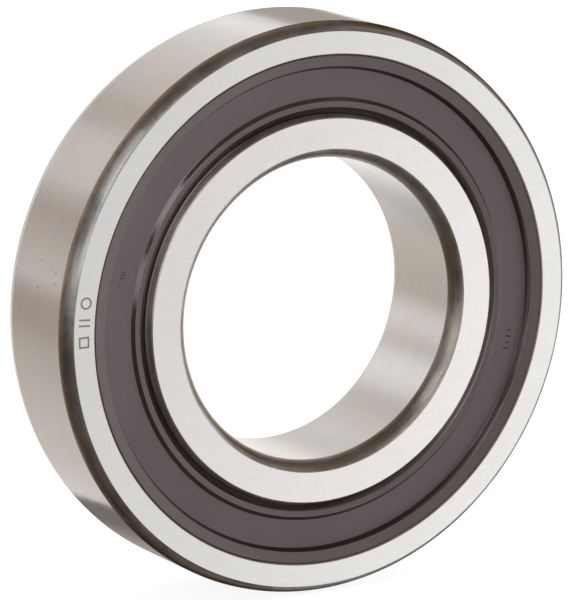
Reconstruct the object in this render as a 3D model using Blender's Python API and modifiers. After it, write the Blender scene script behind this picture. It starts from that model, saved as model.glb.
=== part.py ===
"""Single-row deep-groove ball bearing, 45 x 85 x 19 mm, with a contact seal on each side.

The bearing stands upright on its outside diameter. Its axis lies along world Y, the
origin is the centre of the bearing, and the front side faces -Y. The pieces are modelled
about local Z. The root turns local +Z out of the front face and leaves local +Y up.
All sizes are in millimetres. A DEPTH is measured inwards from a side face, a HEIGHT
along local Z from the mid-plane. Profiles are lists of (radius, height).
"""

import math

import bmesh
import bpy
from mathutils import Matrix, Vector

MM = 0.001  # metres

# Boundary dimensions
BORE_R = 22.5
OUTSIDE_R = 42.5
WIDTH = 19.0
HALF_WIDTH = WIDTH / 2

# Rolling elements
BALLS = 10
BALL_R = 6.15
PITCH_R = 32.5
PITCH_ANGLE = 2 * math.pi / BALLS
RADIAL_PLAY = 0.09  # between a ball and either raceway, at the drawn corners

# Outer ring
OUTER_CHAMFER_RADIAL, OUTER_CHAMFER_DEPTH = 1.28, 2.43
FACE_INNER_R = 37.98  # inner edge of the side face
SEAT_LIP_R, SEAT_LIP_DEPTH = 37.72, 0.80  # the narrowest place of the seal's seat
SEAT_GROOVE_R, SEAT_GROOVE_NEAR_DEPTH, SEAT_GROOVE_FAR_DEPTH = 38.55, 1.15, 2.42
OUTER_SHOULDER_R = 36.0
OUTER_RACEWAY_CROSS_R = 6.52

# Inner ring
BORE_CHAMFER_RADIAL, BORE_CHAMFER_DEPTH = 1.55, 2.10
INNER_FACE_R = 28.49  # outer edge of the side face
INNER_SHOULDER_R, INNER_SHOULDER_DEPTH = 28.95, 0.90
INNER_RACEWAY_CROSS_R = 6.335

# Seal's steel disc, with a flange at its outer edge that points outwards along the axis
SHEET = 0.50
INSERT_INNER_R, INSERT_OUTER_R = 30.60, 37.10
INSERT_FLANGE_INNER_R = INSERT_OUTER_R - SHEET
INSERT_FLANGE_DEPTH, INSERT_BACK_DEPTH = 1.05, 2.25
INSERT_FRONT_DEPTH = INSERT_BACK_DEPTH - SHEET
BOND_GAP = 0.05  # between the rubber and the disc

# Seal's moulded rubber, from its outer edge to the lip at its inner edge
RUBBER_EDGE_R = 37.46
NECK_R, NECK_DEPTH = RUBBER_EDGE_R + 0.04, SEAT_LIP_DEPTH + 0.06
BEAD_R, BEAD_NEAR_DEPTH, BEAD_FAR_DEPTH = 38.34, 1.28, 2.20
BAND_INNER_R, BAND_OUTER_DEPTH, BAND_INNER_DEPTH = 36.07, 0.15, 0.42
WEB_OUTER_R, WEB_INNER_R, WEB_DEPTH = 35.58, 31.44, 1.24
RIM_OUTER_R, RIM_OUTER_DEPTH = 30.92, 0.79
RIM_INNER_R, RIM_INNER_DEPTH = 29.96, 0.90
LIP_KNEE_R, LIP_KNEE_DEPTH = 29.58, 1.36
LIP_TIP_R, LIP_TIP_DEPTH = 29.07, 1.72
LIP_BACK_R, LIP_BACK_DEPTH = LIP_TIP_R + 0.06, 2.12

# Cage: two pressed halves held together by a rivet between each pair of balls
CAGE_SHEET = 0.70
CAGE_INNER_R, CAGE_OUTER_R = 29.9, 35.1
CAGE_WEB_HEIGHT = 0.45  # middle of the flat web's sheet
POCKET_R = 6.73  # middle of the pocket's sheet
POCKET_FOOT = math.radians(12)  # where the pocket's arc starts and ends above the web
WEB_FILLET = 0.25  # from the pocket's foot to the flat web

# Rivets
RIVET_R, RIVET_HEAD_R, RIVET_CROWN_R = 0.92, 1.70, 1.20
RIVET_SEAT_HEIGHT, RIVET_RIM_HEIGHT, RIVET_TOP_HEIGHT = 0.86, 1.16, 1.50
RIVET_CROWN_HEIGHT = RIVET_TOP_HEIGHT - 0.06
RIVET_HOLE_R = 1.08
HOLE_CUTTER_LENGTH = 4.0

# Mesh resolution
RING_STEPS = 60
RIVET_STEPS = 8
BALL_MERIDIANS, BALL_RINGS = 16, 8
RACEWAY_SPANS = 6
POCKET_COLUMNS = 9
COLUMNS_PER_BALL = POCKET_COLUMNS + 2  # the web has one column on each side of a pocket
CAGE_ROWS = 3
HOLE_SEGMENTS = 12
MERGE_DISTANCE = 0.01
TURNED_SHARP_ANGLE = math.radians(32)
CAGE_SHARP_ANGLE = math.radians(50)

# Finishes
OUTER_RING_STEEL = dict(colour=(0.58, 0.57, 0.55), metallic=1.0, roughness=0.34)
INNER_RING_STEEL = dict(colour=(0.58, 0.57, 0.55), metallic=1.0, roughness=0.32)
DARK_RUBBER = dict(colour=(0.085, 0.075, 0.078), metallic=0.0, roughness=0.48)
INSERT_STEEL = dict(colour=(0.42, 0.41, 0.40), metallic=1.0, roughness=0.45)
CAGE_STEEL = dict(colour=(0.50, 0.49, 0.47), metallic=1.0, roughness=0.38)
BALL_STEEL = dict(colour=(0.66, 0.65, 0.64), metallic=1.0, roughness=0.08)
RIVET_STEEL = dict(colour=(0.45, 0.44, 0.42), metallic=1.0, roughness=0.42)

# The back pieces are the front ones turned half round about local X.
SIDES = (("front", 0.0), ("back", math.pi))


# Profiles

def from_depths(points):
    """Turn (radius, depth) points of the front side into (radius, height)."""
    return [(r, HALF_WIDTH - depth) for r, depth in points]


def mirrored(profile):
    return [(r, -z) for r, z in profile]


def chamfered(side_r, face_r, depth):
    """A rounded front corner: its end on the side, one middle point, its end on the face."""
    reach = math.sqrt(0.5)
    side_z = HALF_WIDTH - depth
    middle = (face_r + (side_r - face_r) * reach, side_z + depth * reach)
    return [(side_r, side_z), middle, (face_r, HALF_WIDTH)]


def raceway(bottom_r, cross_r, shoulder_r, side):
    """A ball groove from its edge at -z to its edge at +z.

    side is +1 for a groove that opens inwards and -1 for one that opens outwards.
    """
    centre_r = bottom_r - side * cross_r
    edge = math.acos(side * (shoulder_r - centre_r) / cross_r)
    angles = [edge * (2 * i / RACEWAY_SPANS - 1) for i in range(RACEWAY_SPANS + 1)]
    return [(centre_r + side * cross_r * math.cos(a), cross_r * math.sin(a)) for a in angles]


def outer_ring_profile():
    bottom_r = PITCH_R + BALL_R + RADIAL_PLAY
    groove = raceway(bottom_r, OUTER_RACEWAY_CROSS_R, OUTER_SHOULDER_R, side=1)
    seat = from_depths([
        (FACE_INNER_R, 0),
        (SEAT_LIP_R, SEAT_LIP_DEPTH),
        (SEAT_GROOVE_R, SEAT_GROOVE_NEAR_DEPTH),
        (SEAT_GROOVE_R, SEAT_GROOVE_FAR_DEPTH),
        (OUTER_SHOULDER_R, SEAT_GROOVE_FAR_DEPTH),
    ])
    corner = chamfered(OUTSIDE_R, OUTSIDE_R - OUTER_CHAMFER_RADIAL, OUTER_CHAMFER_DEPTH)
    half = corner + seat
    return mirrored(half) + groove + half[::-1]


def inner_ring_profile():
    bottom_r = PITCH_R - BALL_R - RADIAL_PLAY
    groove = raceway(bottom_r, INNER_RACEWAY_CROSS_R, INNER_SHOULDER_R, side=-1)
    shoulder = from_depths([(INNER_SHOULDER_R, INNER_SHOULDER_DEPTH), (INNER_FACE_R, 0)])
    corner = chamfered(BORE_R, BORE_R + BORE_CHAMFER_RADIAL, BORE_CHAMFER_DEPTH)
    half = shoulder + corner[::-1]
    return groove[::-1] + mirrored(half) + half[::-1]


def rubber_profile():
    # The rubber's faces along the disc
    outer_r = INSERT_OUTER_R + BOND_GAP
    flange_r = INSERT_FLANGE_INNER_R - BOND_GAP
    inner_r = INSERT_INNER_R - BOND_GAP
    flange_depth = INSERT_FLANGE_DEPTH - BOND_GAP
    front_depth = INSERT_FRONT_DEPTH - BOND_GAP
    return from_depths([
        (RUBBER_EDGE_R, BAND_OUTER_DEPTH),
        (NECK_R, NECK_DEPTH),
        (BEAD_R, BEAD_NEAR_DEPTH),
        (BEAD_R, BEAD_FAR_DEPTH),
        (outer_r, INSERT_BACK_DEPTH + BOND_GAP),
        (outer_r, flange_depth),
        (flange_r, flange_depth),
        (flange_r, front_depth),
        (inner_r, front_depth),
        (inner_r, INSERT_BACK_DEPTH),
        (LIP_BACK_R, LIP_BACK_DEPTH),
        (LIP_TIP_R, LIP_TIP_DEPTH),
        (LIP_KNEE_R, LIP_KNEE_DEPTH),
        (RIM_INNER_R, RIM_INNER_DEPTH),
        (RIM_OUTER_R, RIM_OUTER_DEPTH),
        (WEB_INNER_R, WEB_DEPTH),
        (WEB_OUTER_R, WEB_DEPTH),
        (BAND_INNER_R, BAND_INNER_DEPTH),
    ])


def insert_profile():
    return from_depths([
        (INSERT_OUTER_R, INSERT_FLANGE_DEPTH),
        (INSERT_OUTER_R, INSERT_BACK_DEPTH),
        (INSERT_INNER_R, INSERT_BACK_DEPTH),
        (INSERT_INNER_R, INSERT_FRONT_DEPTH),
        (INSERT_FLANGE_INNER_R, INSERT_FRONT_DEPTH),
        (INSERT_FLANGE_INNER_R, INSERT_FLANGE_DEPTH),
    ])


def rivet_profile():
    """An open line from the front end of the axis to the back end."""
    half = [
        (0.0, RIVET_TOP_HEIGHT),
        (RIVET_CROWN_R, RIVET_CROWN_HEIGHT),
        (RIVET_HEAD_R, RIVET_RIM_HEIGHT),
        (RIVET_HEAD_R, RIVET_SEAT_HEIGHT),
        (RIVET_R, RIVET_SEAT_HEIGHT),
    ]
    return half + mirrored(half)[::-1]


# Scene helpers

def collection_named(name, hidden=False):
    collection = bpy.data.collections.new(name)
    bpy.context.scene.collection.children.link(collection)
    collection.hide_render = hidden
    return collection


def material_named(name, colour, metallic, roughness):
    material = bpy.data.materials.new(name)
    material.use_nodes = True
    shader = material.node_tree.nodes["Principled BSDF"]
    shader.inputs["Base Color"].default_value = (*colour, 1.0)
    shader.inputs["Metallic"].default_value = metallic
    shader.inputs["Roughness"].default_value = roughness
    material.diffuse_color = (*colour, 1.0)
    return material


def empty_named(name, collection, parent=None, rotation=(0, 0, 0)):
    empty = bpy.data.objects.new(name, None)
    empty.empty_display_size = 0.01
    empty.rotation_euler = rotation
    empty.parent = parent
    collection.objects.link(empty)
    return empty


def placed(name, mesh, parent, material, rotation=(0, 0, 0), location=(0, 0, 0)):
    """Add a piece beside its parent. The object holds the material, so meshes can be shared."""
    obj = bpy.data.objects.new(name, mesh)
    obj.rotation_euler = rotation
    obj.location = Vector(location) * MM
    obj.parent = parent
    parent.users_collection[0].objects.link(obj)
    if not mesh.materials:
        mesh.materials.append(material)
    obj.material_slots[0].link = "OBJECT"
    obj.material_slots[0].material = material
    return obj


def on_pitch_circle(pitches):
    """The place this many ball pitches clockwise from the top, seen from the front."""
    turn = math.pi / 2 - PITCH_ANGLE * pitches
    return (PITCH_R * math.cos(turn), PITCH_R * math.sin(turn), 0)


# Meshes

def mesh_from(bm, name):
    mesh = bpy.data.meshes.new(name)
    bm.to_mesh(mesh)
    bm.free()
    return mesh


def turned_mesh(name, profile, closed=True, steps=RING_STEPS):
    """Spin a profile in the XZ plane once about Z with an applied Screw modifier."""
    bm = bmesh.new()
    points = [bm.verts.new((r * MM, 0, z * MM)) for r, z in profile]
    following = points[1:] + points[:1] if closed else points[1:]
    for start, end in zip(points, following):
        bm.edges.new((start, end))
    line = mesh_from(bm, name + "_profile")
    source = bpy.data.objects.new(name + "_profile", line)
    bpy.context.scene.collection.objects.link(source)

    screw = source.modifiers.new("Screw", "SCREW")
    screw.axis = "Z"
    screw.angle = 2 * math.pi
    screw.screw_offset = 0
    screw.steps = steps
    # An open profile ends on the axis, where its copies have to be joined.
    screw.use_merge_vertices = not closed
    screw.merge_threshold = MERGE_DISTANCE * MM

    graph = bpy.context.evaluated_depsgraph_get()
    mesh = bpy.data.meshes.new_from_object(source.evaluated_get(graph), depsgraph=graph)
    mesh.name = name
    bpy.data.objects.remove(source)
    bpy.data.meshes.remove(line)
    mesh.shade_smooth()
    mesh.set_sharp_from_angle(angle=TURNED_SHARP_ANGLE)
    return mesh


def ball_mesh():
    bm = bmesh.new()
    bmesh.ops.create_uvsphere(
        bm, u_segments=BALL_MERIDIANS, v_segments=BALL_RINGS, radius=BALL_R * MM
    )
    mesh = mesh_from(bm, "ball")
    mesh.shade_smooth()
    return mesh


def cage_point(column, radius):
    """Position on the middle of the cage's sheet, for a column counted round the ring."""
    ball, place = divmod(column, COLUMNS_PER_BALL)
    on_pocket = 0 < place <= POCKET_COLUMNS
    # A web column takes the angle of the pocket's nearest foot.
    pocket_place = min(max(place, 1), POCKET_COLUMNS)
    step = (math.pi - 2 * POCKET_FOOT) / (POCKET_COLUMNS - 1)
    arc = POCKET_FOOT + step * (pocket_place - 1)

    crown = math.sqrt(POCKET_R**2 - (radius - PITCH_R) ** 2)
    z = crown * math.sin(arc)
    # Distance from the ball's centre, in the plane of the ring
    away = math.sqrt(POCKET_R**2 - z**2) + (0 if on_pocket else WEB_FILLET)
    cosine = (radius**2 + PITCH_R**2 - away**2) / (2 * radius * PITCH_R)
    # At the crown, rounding can take the cosine just past 1.
    swing = math.acos(min(cosine, 1.0))
    turn = ball * PITCH_ANGLE + (-swing if arc < math.pi / 2 else swing)
    height = z if on_pocket else CAGE_WEB_HEIGHT
    return Vector((radius * math.cos(turn), radius * math.sin(turn), height)) * MM


def cage_mesh():
    """A flat grid bent round into a ring, with a spherical pocket at each ball."""
    columns = BALLS * COLUMNS_PER_BALL
    grid_half = 0.5
    bm = bmesh.new()
    bmesh.ops.create_grid(bm, x_segments=columns, y_segments=CAGE_ROWS, size=grid_half)
    for vert in bm.verts:
        column = round((vert.co.x + grid_half) * columns)
        across = vert.co.y + grid_half
        radius = CAGE_OUTER_R + (CAGE_INNER_R - CAGE_OUTER_R) * across
        vert.co = cage_point(column % columns, radius)
    # Join the grid's two ends.
    bmesh.ops.remove_doubles(bm, verts=bm.verts[:], dist=MERGE_DISTANCE * MM)
    bmesh.ops.recalc_face_normals(bm, faces=bm.faces[:])
    mesh = mesh_from(bm, "cage_half")
    mesh.shade_smooth()
    mesh.set_sharp_from_angle(angle=CAGE_SHARP_ANGLE)
    return mesh


# Pieces

def add_rings(root, inner_axis):
    for name, profile, parent, finish in (
        ("outer_ring", outer_ring_profile(), root, OUTER_RING_STEEL),
        ("inner_ring", inner_ring_profile(), inner_axis, INNER_RING_STEEL),
    ):
        material = material_named(name + "_steel", **finish)
        placed(name, turned_mesh(name, profile), parent, material)


def add_seals(root, collection):
    parts = (
        ("seal_rubber", turned_mesh("seal_rubber", rubber_profile()), DARK_RUBBER),
        ("seal_insert", turned_mesh("seal_insert", insert_profile()), INSERT_STEEL),
    )
    for side, turn in SIDES:
        seat = empty_named("seal_seat_" + side, collection, root, rotation=(turn, 0, 0))
        for part, mesh, finish in parts:
            name = f"{part}_{side}"
            placed(name, mesh, seat, material_named(name, **finish))


def add_hole_cutter(parent):
    """One hidden object with a cylinder for each rivet hole."""
    bm = bmesh.new()
    for i in range(BALLS):
        bmesh.ops.create_cone(
            bm,
            cap_ends=True,
            segments=HOLE_SEGMENTS,
            radius1=RIVET_HOLE_R * MM,
            radius2=RIVET_HOLE_R * MM,
            depth=HOLE_CUTTER_LENGTH * MM,
            matrix=Matrix.Translation(Vector(on_pitch_circle(i + 0.5)) * MM),
        )
    cutter = bpy.data.objects.new("rivet_holes", mesh_from(bm, "rivet_holes"))
    cutter.parent = parent
    cutter.hide_render = True
    cutter.display_type = "WIRE"
    collection_named("cutters", hidden=True).objects.link(cutter)
    return cutter


def add_cage(cage_axis):
    mesh = cage_mesh()
    holes = add_hole_cutter(cage_axis)
    for side, turn in SIDES:
        name = "cage_half_" + side
        material = material_named(name, **CAGE_STEEL)
        # The mesh has its first pocket on +X. A quarter turn takes it to the top ball.
        cage_half = placed(name, mesh, cage_axis, material, rotation=(turn, 0, math.pi / 2))
        sheet = cage_half.modifiers.new("Sheet", "SOLIDIFY")
        sheet.thickness = CAGE_SHEET * MM
        sheet.offset = 0
        sheet.use_even_offset = True
        drill = cage_half.modifiers.new("Rivet holes", "BOOLEAN")
        drill.operation = "DIFFERENCE"
        drill.solver = "EXACT"
        drill.object = holes


def add_balls_and_rivets(cage_axis):
    """Ball 1 stands at the top, and each rivet follows the ball of its number."""
    rivet = turned_mesh("rivet", rivet_profile(), closed=False, steps=RIVET_STEPS)
    parts = (
        ("ball", ball_mesh(), BALL_STEEL, 0),
        ("rivet", rivet, RIVET_STEEL, 0.5),
    )
    for i in range(BALLS):
        for part, mesh, finish, shift in parts:
            name = f"{part}_{i + 1:02d}"
            material = material_named(name + "_steel", **finish)
            placed(name, mesh, cage_axis, material, location=on_pitch_circle(i + shift))


def build():
    for old in list(bpy.data.objects):
        bpy.data.objects.remove(old)

    bearing = collection_named("deep_groove_ball_bearing")
    # Local +Z of the root turns to world -Y, so the front faces -Y and local +Y is up.
    root = empty_named("bearing_axis", bearing, rotation=(math.pi / 2, 0, 0))
    inner_axis = empty_named("inner_ring_axis", bearing, root)
    cage_axis = empty_named("cage_axis", bearing, root)

    add_rings(root, inner_axis)
    add_seals(root, bearing)
    add_cage(cage_axis)
    add_balls_and_rivets(cage_axis)


build()
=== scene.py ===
"""Looks of the sealed deep-groove ball bearing: fine turned rings, moulded seals, pressed cage and lapped balls.

The bearing stands on its rim with its axis along world Y and its front side towards world -Y.
Pieces are designed in millimetres in the bearing's own frame: r is the distance from the axis,
z is the height over the mid-plane towards the front. Materials, cards and camera are in metres.
"""

import math

import bmesh
import bpy
from mathutils import Matrix, Vector


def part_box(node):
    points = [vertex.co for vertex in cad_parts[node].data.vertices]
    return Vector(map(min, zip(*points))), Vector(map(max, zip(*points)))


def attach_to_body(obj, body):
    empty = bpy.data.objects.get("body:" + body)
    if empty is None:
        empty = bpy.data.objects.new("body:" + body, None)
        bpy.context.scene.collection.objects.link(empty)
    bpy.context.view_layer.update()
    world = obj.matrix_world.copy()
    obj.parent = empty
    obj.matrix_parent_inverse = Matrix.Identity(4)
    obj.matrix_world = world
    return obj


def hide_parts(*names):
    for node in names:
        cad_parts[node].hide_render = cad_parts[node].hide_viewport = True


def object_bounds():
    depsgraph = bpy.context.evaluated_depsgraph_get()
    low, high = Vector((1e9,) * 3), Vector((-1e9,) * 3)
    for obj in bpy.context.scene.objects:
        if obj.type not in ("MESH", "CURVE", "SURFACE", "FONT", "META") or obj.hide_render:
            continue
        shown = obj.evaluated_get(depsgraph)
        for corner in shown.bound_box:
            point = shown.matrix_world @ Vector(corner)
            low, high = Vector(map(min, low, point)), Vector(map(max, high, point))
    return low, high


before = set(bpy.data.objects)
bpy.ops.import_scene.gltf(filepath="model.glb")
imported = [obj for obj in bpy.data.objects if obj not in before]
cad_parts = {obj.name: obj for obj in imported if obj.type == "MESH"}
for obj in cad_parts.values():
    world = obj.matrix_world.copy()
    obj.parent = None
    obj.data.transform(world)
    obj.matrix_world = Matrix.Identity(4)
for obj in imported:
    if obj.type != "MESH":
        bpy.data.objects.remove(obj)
cad_low, cad_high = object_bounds()
MM = 0.001


# ---------------------------------------------------------------- sizes
def top_radius(node):
    """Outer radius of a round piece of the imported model, in mm."""
    _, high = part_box(node)
    return high.z / MM


def box_middle(node):
    low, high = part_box(node)
    return (low + high) / 2


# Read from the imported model
ring_low, ring_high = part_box("outer_ring")
OUT_R = ring_high.z / MM
HALF_W = -ring_low.y / MM
ball_low, ball_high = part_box("ball_01")
BALL_R = (ball_high.z - ball_low.z) / 2 / MM
PITCH_R = (ball_high.z + ball_low.z) / 2 / MM
SHOULDER_R = top_radius("inner_ring")
BEAD_R = top_radius("seal_rubber_front")
INSERT_R = top_radius("seal_insert_front")
BALLS = sum(1 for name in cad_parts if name.startswith("ball_"))
PITCH = 2 * math.pi / BALLS

# Rings
BORE_R = 22.5
OUTER_CHAMFER_W, OUTER_CHAMFER_H = 1.28, 2.43  # across the face, along the axis
BORE_CHAMFER_W, BORE_CHAMFER_H = 1.55, 2.10
OUTER_GROUND_STRIP, BORE_GROUND_STRIP = 0.22, 0.28  # ground width of the back chamfers
OUTER_LAND_R = 36.0
OUTER_GROOVE_R, OUTER_GROOVE_ARC = 38.66, 6.52  # bottom of the raceway, radius of its arc
INNER_GROOVE_R, INNER_GROOVE_ARC = 26.34, 6.335
SKIN_TOP = 9.5  # height of the side faces, where the dark skins start
OUTER_SEAT_R = 38.55

# Turned meshes
STEPS, INSERT_STEPS = 360, 240
SHARP = 24  # degrees between faces from which an edge is sharp
LEAST_BEND = 3  # degrees; a flatter corner is left as it is
FILLET_STEP = 14  # degrees of a fillet per segment
LONG_RUN, GUARD_GAP = 0.45, 0.035  # runs that get guard lines, and their distance from the ends

# Cage and rivets
SHEET = 0.70
POCKET_R = 6.62
WEB_Y = 0.45
FOOT = math.radians(10)  # where the dome ends, as an angle round the ball
FILLET_REACH = 0.75  # from the foot of the dome to the flat web
DOME, BLEND, WEB, ROWS = 26, 6, 8, 12
CAGE_IN, CAGE_OUT = 29.9, 35.1
RIVET_HOLE_R = 1.02
RIM_BEVEL = 0.09
RIVET_STEPS = 40
HEAD_TOP, HEAD_RISE, HEAD_DOME_R = 1.52, 0.42, 1.66
HEAD_ANGLE, HEAD_PARTS = math.radians(72), 8


def depth(below):
    """Height of what lies so far below the side face."""
    return HALF_W - below


# ---------------------------------------------------------------- shader building
class Graph:
    """Short names for building a node tree."""

    def __init__(self, tree):
        self.tree = tree

    def feed(self, socket, value):
        if isinstance(value, bpy.types.NodeSocket):
            self.tree.links.new(value, socket)
        else:
            socket.default_value = value

    def put(self, kind, ins=None, **props):
        made = self.tree.nodes.new(kind)
        for key, value in props.items():
            setattr(made, key, value)
        for key, value in (ins or {}).items():
            self.feed(made.inputs[key], value)
        return made

    def math(self, operation, a, b=0.0):
        return self.put("ShaderNodeMath", {0: a, 1: b, 2: 0.0}, operation=operation).outputs[0]

    def add(self, a, b):
        return self.math("ADD", a, b)

    def mul(self, a, b):
        return self.math("MULTIPLY", a, b)

    def total(self, *terms):
        """The sum of the terms, added up from the last."""
        result = terms[-1]
        for term in terms[-2::-1]:
            result = self.add(term, result)
        return result

    def vector(self, operation, a, b):
        made = self.put("ShaderNodeVectorMath", {0: a, 1: b}, operation=operation)
        return made.outputs["Value" if operation == "DOT_PRODUCT" else "Vector"]

    def split(self, vector):
        return self.put("ShaderNodeSeparateXYZ", {0: vector}).outputs

    def join(self, x, y, z):
        return self.put("ShaderNodeCombineXYZ", {0: x, 1: y, 2: z}).outputs[0]

    def map_range(self, value, within, to, interpolation):
        made = self.put(
            "ShaderNodeMapRange",
            {0: value, 1: within[0], 2: within[1], 3: to[0], 4: to[1]},
            interpolation_type=interpolation,
        )
        return made.outputs[0]

    def ease(self, value, start, end, to=(0.0, 1.0)):
        """Goes smoothly from to[0], at start, to to[1], at end."""
        return self.map_range(value, (start, end), to, "SMOOTHSTEP")

    def spread(self, value, to, within=(0.3, 0.7)):
        """Goes straight from to[0] to to[1] over a range; a single number means minus to plus it."""
        if not isinstance(to, tuple):
            to = (-to, to)
        return self.map_range(value, within, to, "LINEAR")

    def curve(self, value, stops, interpolation="EASE"):
        """Value through a ramp of (place, level) stops, places from 0 to 1."""
        made = self.put("ShaderNodeValToRGB", {0: value})
        ramp = made.color_ramp
        ramp.interpolation = interpolation
        while len(ramp.elements) < len(stops):
            ramp.elements.new(0.5)
        for element, (place, level) in zip(ramp.elements, sorted(stops)):
            element.position = place
            element.color = (level, level, level, 1)
        return made.outputs[0]

    def mix(self, factor, a, b):
        # Inputs 6 and 7 and output 2 are the node's colour sockets.
        return self.put("ShaderNodeMix", {0: factor, 6: a, 7: b}, data_type="RGBA").outputs[2]

    def stretched(self, vector, stretch, turn=(0, 0, 0)):
        """The vector turned, in degrees, and scaled along each axis."""
        angles = tuple(math.radians(angle) for angle in turn)
        made = self.put(
            "ShaderNodeMapping", {"Vector": vector, "Rotation": angles, "Scale": stretch}
        )
        return made.outputs[0]

    def noise(self, vector, scale=1.0, detail=3.0, rough=0.55, stretch=None, turn=(0, 0, 0)):
        if stretch:
            vector = self.stretched(vector, stretch, turn)
        made = self.put(
            "ShaderNodeTexNoise",
            {"Vector": vector, "Scale": scale, "Detail": detail, "Roughness": rough},
        )
        return made.outputs[0]

    def specks(self, vector, cell, size, share):
        """1 in spots about size metres across, in this share of cells that are cell metres wide."""
        made = self.put(
            "ShaderNodeTexVoronoi", {"Vector": vector, "Scale": 1 / cell, "Randomness": 1.0}
        )
        chosen = self.math("LESS_THAN", self.split(made.outputs["Color"])[0], share)
        near = self.ease(made.outputs["Distance"], size / cell, 0.3 * size / cell)
        return self.mul(chosen, near)

    def darken(self, level, spots, by):
        return self.mul(level, self.math("SUBTRACT", 1.0, self.mul(spots, by)))

    def shaded(self, rgb, level):
        return self.vector("MULTIPLY", rgb, self.join(level, level, level))

    def bump(self, height, distance, strength):
        ins = {"Height": height, "Distance": distance, "Strength": strength}
        return self.put("ShaderNodeBump", ins).outputs[0]


def opaque(rgb):
    return (*rgb, 1.0)


class Surface(Graph):
    """A Principled material under construction, with place for the piece's own coordinates."""

    def __init__(self, name, shown):
        self.material = bpy.data.materials.new(name)
        self.material.use_nodes = True
        self.material.diffuse_color = opaque(shown)
        super().__init__(self.material.node_tree)
        self.place = self.put("ShaderNodeTexCoord").outputs["Object"]

    def ring_tangent(self):
        return self.put("ShaderNodeTangent", direction_type="RADIAL", axis="Y").outputs[0]

    def finish(self, **sockets):
        """Feeds the shader's sockets, named with _ for a space, and gives the material."""
        shader = self.tree.nodes["Principled BSDF"]
        for name, value in sockets.items():
            self.feed(shader.inputs[name.replace("_", " ")], value)
        return self.material


# In the materials below, stretch and scale are in cycles per metre, the amounts in spread are
# changes of level or roughness, and the factors in height or relief weigh each pattern in the bump.
def ground_cylinder(name, base, rough, wear=1.0):
    """Ground round the axis: fine lines along the circumference, small dents and a film of oil."""
    graph = Surface(name, base)
    place = graph.place
    lines = graph.noise(place, stretch=(70, 5200, 70), detail=4, rough=0.65)
    broad = graph.noise(place, stretch=(45, 420, 45), detail=2)
    cloud = graph.noise(place, scale=75, detail=4, rough=0.6)
    fine = graph.noise(place, scale=2600, detail=2)
    waves = graph.noise(place, stretch=(420, 300, 420), detail=3, rough=0.6)
    worn = graph.ease(graph.noise(place, scale=62, detail=2), start=0.41, end=0.56)

    def where_worn(spots, least):
        return graph.mul(spots, graph.spread(worn, to=(least, 1.0), within=(0.0, 1.0)))

    flattened = graph.stretched(place, stretch=(1, 0.6, 1))
    dents = graph.specks(flattened, cell=0.0021, size=0.00027 * wear, share=0.42)
    dents = where_worn(dents, least=0.25)
    pits = graph.specks(place, cell=0.0011, size=0.00016 * wear, share=0.55)
    pits = where_worn(pits, least=0.3)
    slanted = graph.stretched(place, stretch=(1, 0.20, 1), turn=(28, 0, 20))
    scratches = graph.specks(slanted, cell=0.0019, size=0.00019 * wear, share=0.36)
    scratches = where_worn(scratches, least=0.4)

    shade = graph.total(
        graph.spread(lines, to=0.015, within=(0.25, 0.75)),
        graph.spread(broad, to=0.010),
        graph.spread(cloud, to=0.050),
        graph.spread(fine, to=0.022),
    )
    level = graph.add(1.0, shade)
    level = graph.darken(level, dents, by=0.30)
    level = graph.darken(level, pits, by=0.60)
    level = graph.darken(level, scratches, by=0.22)
    oily = (base[0] * 0.985, base[1] * 0.965, base[2] * 0.93)
    tint = graph.mix(graph.ease(cloud, start=0.42, end=0.72), opaque(base), opaque(oily))
    base_colour = graph.shaded(tint, level)
    roughness = graph.total(
        rough,
        graph.spread(lines, to=0.02, within=(0.2, 0.8)),
        graph.spread(cloud, to=(-0.03, 0.04)),
    )
    height = graph.add(
        graph.add(graph.mul(lines, 0.5), graph.mul(waves, 2.6 * wear)),
        graph.add(
            graph.mul(fine, 0.25),
            graph.mul(graph.total(dents, pits, scratches), -2.6),
        ),
    )
    return graph.finish(
        Base_Color=base_colour,
        Metallic=1.0,
        Roughness=roughness,
        Anisotropic=0.6,
        Anisotropic_Rotation=0.25,
        Tangent=graph.ring_tangent(),
        Normal=graph.bump(height, distance=0.000006, strength=0.75),
    )


def lapped_face(name, base, rough):
    """A flat ground side: crossed fine lines and a light satin mottle."""
    graph = Surface(name, base)
    place = graph.place
    one = graph.noise(place, stretch=(260, 40, 3600), turn=(0, 24, 0), detail=3)
    two = graph.noise(place, stretch=(260, 40, 3600), turn=(0, -31, 0), detail=3)
    lay = graph.noise(place, stretch=(4200, 40, 420), turn=(0, 8, 0), detail=2)
    mottle = graph.noise(place, scale=1500, detail=3, rough=0.7)
    cloud = graph.noise(place, scale=55, detail=3)
    nicks = graph.specks(place, cell=0.0034, size=0.00010, share=0.05)
    shade = graph.add(
        graph.add(graph.spread(one, to=0.018), graph.spread(two, to=0.018)),
        graph.total(
            graph.spread(lay, to=0.014),
            graph.spread(mottle, to=0.020),
            graph.spread(cloud, to=0.012),
        ),
    )
    level = graph.darken(graph.add(1.0, shade), nicks, by=0.12)
    base_colour = graph.shaded(base, level)
    roughness = graph.add(rough, graph.spread(mottle, to=0.04))
    height = graph.add(
        graph.add(one, two), graph.add(graph.mul(mottle, 0.8), graph.mul(nicks, -0.8))
    )
    return graph.finish(
        Base_Color=base_colour,
        Metallic=1.0,
        Roughness=roughness,
        Normal=graph.bump(height, distance=0.000003, strength=0.6),
    )


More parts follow.
